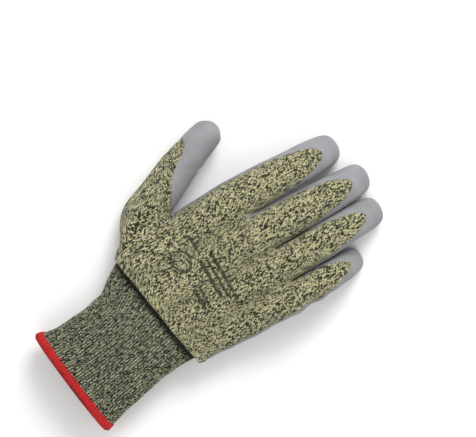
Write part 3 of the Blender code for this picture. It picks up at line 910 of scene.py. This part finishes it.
def coat_paint():
    """Matt foamed film, faintly speckled, with the knit showing through a little."""
    paint = Paint("grey_film")
    across, along = paint.knit_places()
    place = paint.vector(across, along)
    broad = paint.noise(place, FILM_BROAD_GRAIN, 3.0)
    fine = paint.noise(place, FILM_FINE_GRAIN, 3.0)
    share = paint.math("ADD", paint.math("MULTIPLY", broad, 0.6), paint.math("MULTIPLY", fine, 0.5))
    colour = paint.blend(paint.between(share, 0.30, 0.80), light(COAT_DEEP), light(COAT))
    wales = paint.math("SINE", paint.math("MULTIPLY", across, FULL_TURN / WALE))
    courses = paint.math("SINE", paint.math("MULTIPLY", along, FULL_TURN / COURSE))
    imprint = paint.math("MULTIPLY", paint.math("MULTIPLY", wales, courses), 0.12)
    height = paint.math("ADD", fine, imprint)
    paint.shader.inputs["Specular IOR Level"].default_value = 0.35
    return paint.finish(colour, 0.62, height, 0.35, 0.0002)


def thread_paint(name, bright, deep):
    paint = Paint(name)
    place = paint.node("NewGeometry").outputs["Position"]
    fibre = paint.noise(place, THREAD_GRAIN, 3.0)
    colour = paint.blend(paint.between(fibre, 0.35, 0.62), light(deep), light(bright))
    return paint.finish(colour, 0.75, fibre, 0.4, 0.0002)


def floor_paint():
    paint = Paint("floor")
    grain = paint.noise(paint.node("TexCoord").outputs["Object"], 40.0, 2.0)
    colour = paint.blend(grain, (0.90, 0.90, 0.90, 1), (0.94, 0.94, 0.94, 1))
    return paint.finish(colour, 0.8, grain, 0.02, 0.0001)


# Pieces of the hand and the digits


def digit_points(digit, places):
    return [digit.frame_at(s)[0] for s in places]


def attach(piece, patch):
    """Makes a piece of the palm or the ball ride on the palm's body, and applies the other pieces'
    transforms where they are.
    """
    if patch in ("palm", "ball"):
        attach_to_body(piece, "palm")
    elif patch == "knuckles":
        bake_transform(piece)
    elif patch.startswith("thumb"):
        split = THUMB.lengths[0] * THUMB_SPLITS[0]
        if patch == "thumb_middle":
            places = (THUMB_START + THUMB_MARGIN, split - THUMB_MARGIN)
            digit_points(THUMB, places)
            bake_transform(piece)
        else:
            places = (split + SPLIT_MARGIN, THUMB.total - THUMB.dome)
            digit_points(THUMB, places)
            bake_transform(piece)
    else:
        name, part = patch.split("_")
        digit = DIGITS[name]
        first = digit.lengths[0] * FINGER_SPLITS[0]
        second = digit.starts[1] + digit.lengths[1] * FINGER_SPLITS[1]
        if part == "base":
            places = (ROOT_MARGIN, first - BASE_MARGIN)
            digit_points(digit, places)
            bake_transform(piece)
        elif part == "middle":
            places = (first + SPLIT_MARGIN, second - SPLIT_MARGIN)
            digit_points(digit, places)
            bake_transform(piece)
        else:
            places = (second + SPLIT_MARGIN, digit.total - digit.dome)
            digit_points(digit, places)
            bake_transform(piece)


def stands_for(patch):
    """The CAD nodes that a patch's liner and its coating stand for."""
    if patch == "palm":
        return ["palm_liner"], ["palm_coating"]
    if patch == "ball":
        return ["thumb_base_liner"], ["thumb_base_coating"]
    if patch == "knuckles":
        return ["knuckle_fold", "knuckle_band_liner"], ["knuckle_band_coating"]
    name, part = patch.split("_")
    folds = {"base": "root", "middle": "root" if name == "thumb" else "middle", "tip": "tip"}
    return [f"{name}_{folds[part]}_fold", patch + "_liner"], [patch + "_coating"]


def make_film(patch, faces, at, facing, on_knit, coat):
    """The coating over a patch's points, which are given with their normals and places on the knit."""
    inside = cover(patch, on_knit[:, 0], on_knit[:, 1], at)
    film, a, b, share = clipped(faces, inside)
    share = share[:, None]
    base = at[a] * (1 - share) + at[b] * share
    turned = facing[a] * (1 - share) + facing[b] * share
    turned /= np.linalg.norm(turned, axis=1)[:, None]
    flat = on_knit[a] * (1 - share) + on_knit[b] * share
    depth = inside[a] * (1 - share[:, 0]) + inside[b] * share[:, 0]
    lift = FILM_EDGE + (FILM - FILM_EDGE) * eased(depth / FILM_FROM)
    outer = base + turned * lift[:, None]
    outer[:, 2] = np.maximum(outer[:, 2], FILM_CLEAR)
    return closed(patch + "_film", outer, base + turned * FILM_BED, film, turned, flat, coat)


def make_fabric(knit, coat):
    cage = Cage()
    hole, last = build_hand(cage)
    build_fingers(cage, last)
    build_thumb(cage, hole)
    points, faces, patches, places = subdivide(fitted(cage), cage, LEVELS)
    normals = vertex_normals(points, faces)
    points += normals * relief(points, normals)[:, None]
    points[:, 2] = np.maximum(points[:, 2], LINER_CLEAR)
    normals = vertex_normals(points, faces)
    for patch, number in PATCH.items():
        own = patches == number
        used, local = np.unique(faces[own], return_inverse=True)
        local = local.reshape(-1, 4)
        on_knit = np.zeros((len(used), 2))
        on_knit[local.ravel()] = places[own].reshape(-1, 2)
        at, facing = points[used], normals[used]
        liner_nodes, coat_nodes = stands_for(patch)
        quads = [tuple(face) for face in local.tolist()]
        liner = closed(patch + "_knit", at, at - facing * LINER_WALL, quads, facing, on_knit, knit)
        attach(liner, patch)
        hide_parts(*liner_nodes)
        film = make_film(patch, local, at, facing, on_knit, coat)
        attach(film, patch)
        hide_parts(*coat_nodes)


# The cuff and its hem


def even_angles():
    """(share of the way round, angle in degrees) for the cuff's section where it is done narrowing."""
    radial, ulnar, _, half_height = mixed(CUFF_RINGS[::-1], CUFF_SPLIT_Y)
    angles = np.linspace(0, 360, EVEN_STEPS + 1)
    section = np.array([rounded(angle, CUFF_ROUNDNESS) for angle in angles])
    points = section * ((ulnar - radial) / 2, half_height)
    lengths = np.cumsum(np.linalg.norm(np.diff(points, axis=0, prepend=points[:1]), axis=1))
    return lengths / lengths[-1], angles


EVEN_SHARES, EVEN_ANGLES = even_angles()


def cuff_slope(y):
    """How far the cuff's ring at y runs forward per metre across."""
    return float(np.interp(y, (CUFF_END_Y, LEDGE_Y), (HEM_SKEW, LEDGE_SKEW)))


def cuff_point(y, share, out=0.0, ribbed=True):
    """A point of the cuff, share of the way round, out from its fabric's outside."""
    radial, ulnar, middle, half_height = mixed(CUFF_RINGS[::-1], y)
    across, rise = rounded(float(np.interp(share % 1, EVEN_SHARES, EVEN_ANGLES)), CUFF_ROUNDNESS)
    if ribbed:
        out += RIB_DEPTH * (abs(math.sin(math.pi * share * RIBS)) - RIB_MEAN)
    x = (radial + ulnar) / 2 + across * ((ulnar - radial) / 2 + out)
    z = middle + rise * (half_height + out)
    place = Vector((x, y + cuff_slope(y) * x, z))
    ripple = CUFF_RIPPLE * noise.noise(place * Vector(CUFF_RIPPLE_SCALES))
    place.x += ripple * across
    place.z += 0.6 * ripple * rise
    return place


def make_cuff_piece(name, ys, paint):
    count = RIBS * RIB_SAMPLES
    outer = np.array([cuff_point(y, j / count) for y in ys for j in range(count)])
    faces = []
    for i in range(len(ys) - 1):
        for j in range(count):
            k = (j + 1) % count
            faces.append((i * count + k, i * count + count + k, i * count + count + j, i * count + j))
    normals = vertex_normals(outer, np.array(faces))
    knit = np.array([(j / count * CUFF_GIRTH, y) for y in ys for j in range(count)])
    return closed(name, outer, outer - normals * LINER_WALL, faces, normals, knit, paint)


def make_cuff(paint):
    def steps(a, b):
        count = round(abs(a - b) / CUFF_STEP)
        return [a + (b - a) * i / count for i in range(count + 1)]

    wrist = make_cuff_piece("wrist_rib", steps(LEDGE_Y + 0.004, CUFF_SPLIT_Y), paint)
    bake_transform(wrist)
    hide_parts("wrist_fold")
    sleeve = make_cuff_piece("cuff_rib_knit", steps(CUFF_SPLIT_Y, CUFF_END_Y), paint)
    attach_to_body(sleeve, "cuff")
    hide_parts("cuff_rib")


def tube(path, radius, sides, points, faces):
    """Adds a closed tube along a path to lists of points and faces."""
    first = len(points)
    for i, place in enumerate(path):
        along = (path[min(i + 1, len(path) - 1)] - path[max(i - 1, 0)]).normalized()
        side = along.cross(Vector((0.31, 0.17, 0.93))).normalized()
        up = side.cross(along)
        for k in range(sides):
            angle = FULL_TURN * k / sides
            points.append(place + (side * math.cos(angle) + up * math.sin(angle)) * radius)
    for i in range(len(path) - 1):
        for k in range(sides):
            a, b = first + i * sides + k, first + i * sides + (k + 1) % sides
            faces.append((a, b, b + sides, a + sides))
    faces.append(tuple(range(first + sides - 1, first - 1, -1)))
    end = first + (len(path) - 1) * sides
    faces.append(tuple(range(end, end + sides)))


def add_yarn(name, paths, radius, sides, paint):
    """A piece of yarn on the cuff, along one or more paths."""
    points, faces = [], []
    for path in paths:
        tube(path, radius, sides, points, faces)
    mesh = bpy.data.meshes.new(name)
    mesh.from_pydata([tuple(p) for p in points], [], faces)
    mesh.shade_smooth()
    mesh.materials.append(paint)
    made = add_object(name, mesh)
    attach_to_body(made, "cuff")
    return made


def make_hem(paint):
    """The overlock: thread wrapped over the raw edge, turn against turn."""
    paths = []
    for i in range(HEM_WRAPS):
        share = i / HEM_WRAPS
        ragged = 0.0005 * math.sin(i * 2.4) + 0.0003 * math.sin(i * 1.1)
        path = []
        for drop, out, lean in (
            (HEM_TOP + ragged, HEM_OUT * 0.3, 0.0),
            (HEM_TOP * 0.75, HEM_OUT, 0.15),
            (HEM_TOP * 0.4, HEM_OUT, 0.3),
            (0.0004, HEM_OUT * 0.8, 0.5),
            (-0.0008, -LINER_WALL * 0.5, 0.6),
            (0.0004, -LINER_WALL - HEM_OUT * 0.8, 0.8),
            (HEM_TOP * 0.4, -LINER_WALL - HEM_OUT, 1.0),
            (HEM_TOP + ragged, -LINER_WALL - HEM_OUT * 0.3, 1.3),
        ):
            path.append(cuff_point(CUFF_END_Y + drop, share + lean / HEM_WRAPS, out, ribbed=False))
        paths.append(path)
    threads = add_yarn("hem_threads", paths, THREAD_RADIUS, THREAD_SIDES, paint)
    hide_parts("hem_overlock")


def make_elastic(paint):
    """The elastic yarn, in a spiral against the inside of the ribbing."""
    count = ELASTIC_TURNS * ELASTIC_STEPS
    path = []
    for i in range(count + 1):
        y = ELASTIC_Y[0] + (ELASTIC_Y[1] - ELASTIC_Y[0]) * i / count
        path.append(cuff_point(y, i / ELASTIC_STEPS, -LINER_WALL - 2 * ELASTIC_RADIUS, ribbed=False))
    spiral = add_yarn("elastic_spiral", [path], ELASTIC_RADIUS, ELASTIC_SIDES, paint)
    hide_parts("cuff_elastic")


# The studio


def make_camera():
    data = bpy.data.cameras.new("camera")
    data.lens = LENS
    data.sensor_width = 36
    made = add_object("camera", data)
    made.location = AIM + Vector((0, 0, PICTURE_WIDTH * LENS / data.sensor_width))
    made.rotation_euler = (0, 0, math.pi / 2 - HEADING)
    data.clip_end = 20
    bpy.context.scene.camera = made


def make_light(name, place, size, power):
    data = bpy.data.lights.new(name, "AREA")
    data.size = size
    data.energy = power
    made = add_object(name, data)
    made.location = place
    made.rotation_mode = "QUATERNION"
    made.rotation_quaternion = (AIM - Vector(place)).to_track_quat("-Z", "Y")


def make_studio():
    mesh = bpy.data.meshes.new("floor")
    corners = [(FLOOR_HALF * x, FLOOR_HALF * y, 0) for x, y in ((-1, -1), (1, -1), (1, 1), (-1, 1))]
    mesh.from_pydata(corners, [], [(0, 1, 2, 3)])
    mesh.materials.append(floor_paint())
    add_object("floor", mesh)
    world = bpy.data.worlds.new("studio")
    world.use_nodes = True
    world.node_tree.nodes["Background"].inputs["Color"].default_value = (1, 1, 1, 1)
    world.node_tree.nodes["Background"].inputs["Strength"].default_value = WORLD_STRENGTH
    bpy.context.scene.world = world
    for settings in LIGHTS:
        make_light(*settings)
    bpy.context.scene.view_settings.view_transform = "Standard"


def main():
    make_camera()
    make_studio()
    knit = knit_paint("melange_knit", KNIT_DARK, KNIT_LIGHT, marks=MARKS)
    make_fabric(knit, coat_paint())
    make_cuff(knit_paint("rib_knit", RIB_DARK, RIB_LIGHT, rib=CUFF_GIRTH / RIBS))
    make_hem(thread_paint("red_thread", RED, RED_DEEP))
    make_elastic(thread_paint("elastic_yarn", ELASTIC, ELASTIC_DEEP))


main()
